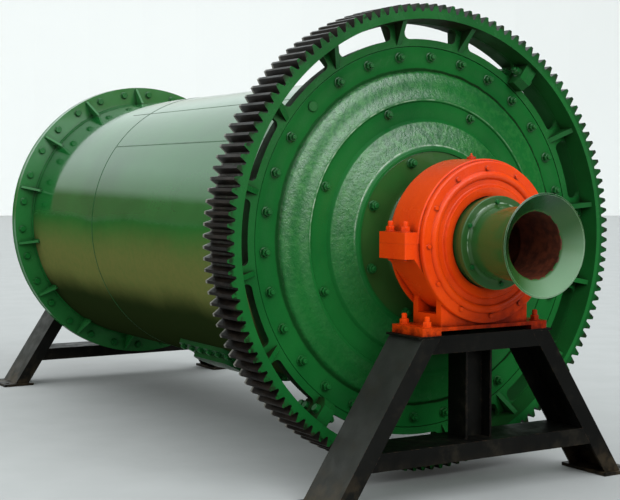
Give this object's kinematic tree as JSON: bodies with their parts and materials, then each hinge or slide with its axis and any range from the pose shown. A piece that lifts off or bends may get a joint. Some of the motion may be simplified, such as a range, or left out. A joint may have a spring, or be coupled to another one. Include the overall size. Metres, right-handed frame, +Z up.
{
  "type": "ball mill",
  "caption": "Ball mill with a green bolted drum, split girth gear, round orange split bearings, flared mouths and black channel stands; the drum turns on its trunnions.",
  "frame": {"origin": "on the floor, under the middle of the mill's overall length and its axis", "axes": "+X along the mill towards the girth gear end, +Z up, -Y the side the picture shows"},
  "size_m": [5.06, 2.1758, 2.208],
  "materials": {
    "shell_paint": "glossy mid green enamel",
    "manhole_paint": "glossy dark green enamel",
    "gear_paint": "green enamel over cast steel, teeth dark with grease",
    "flange_paint": "glossy green enamel",
    "head_paint": "green enamel over rough casting",
    "trunnion_paint": "green enamel, bare steel on the journal",
    "mouth_paint": "glossy green enamel, rusty bore",
    "bearing_paint": "glossy orange red enamel over cast iron",
    "stand_paint": "black paint over rolled steel channel"
  },
  "bodies": {
    "frame": {"bearing_cap_gear_end": "bearing_paint", "bearing_base_gear_end": "bearing_paint", "bearing_cover_outer_gear_end": "bearing_paint", "bearing_cover_inner_gear_end": "bearing_paint", "stand_top_beam_gear_end": "stand_paint", "stand_leg_left_gear_end": "stand_paint", "stand_leg_right_gear_end": "stand_paint", "stand_cross_beam_gear_end": "stand_paint", "stand_post_gear_end": "stand_paint", "stand_foot_left_gear_end": "stand_paint", "stand_foot_right_gear_end": "stand_paint", "bearing_cap_far_end": "bearing_paint", "bearing_base_far_end": "bearing_paint", "bearing_cover_outer_far_end": "bearing_paint", "bearing_cover_inner_far_end": "bearing_paint", "stand_top_beam_far_end": "stand_paint", "stand_leg_left_far_end": "stand_paint", "stand_leg_right_far_end": "stand_paint", "stand_cross_beam_far_end": "stand_paint", "stand_post_far_end": "stand_paint", "stand_foot_left_far_end": "stand_paint", "stand_foot_right_far_end": "stand_paint"},
    "drum": {"shell": "shell_paint", "manhole_saddle": "manhole_paint", "manhole_door": "manhole_paint", "girth_gear_upper": "gear_paint", "girth_gear_lower": "gear_paint", "shell_flange_gear_end": "flange_paint", "gussets_gear_end": "flange_paint", "head_gear_end": "head_paint", "trunnion_gear_end": "trunnion_paint", "mouth_gear_end": "mouth_paint", "shell_flange_far_end": "flange_paint", "gussets_far_end": "flange_paint", "head_far_end": "head_paint", "trunnion_far_end": "trunnion_paint", "mouth_far_end": "mouth_paint"}
  },
  "joints": [
    {"name": "drum_spin", "type": "hinge", "parent": "frame", "child": "drum", "pos_m": [0, 0, 1.12], "axis": [1, 0, 0], "continuous": true}
  ]
}
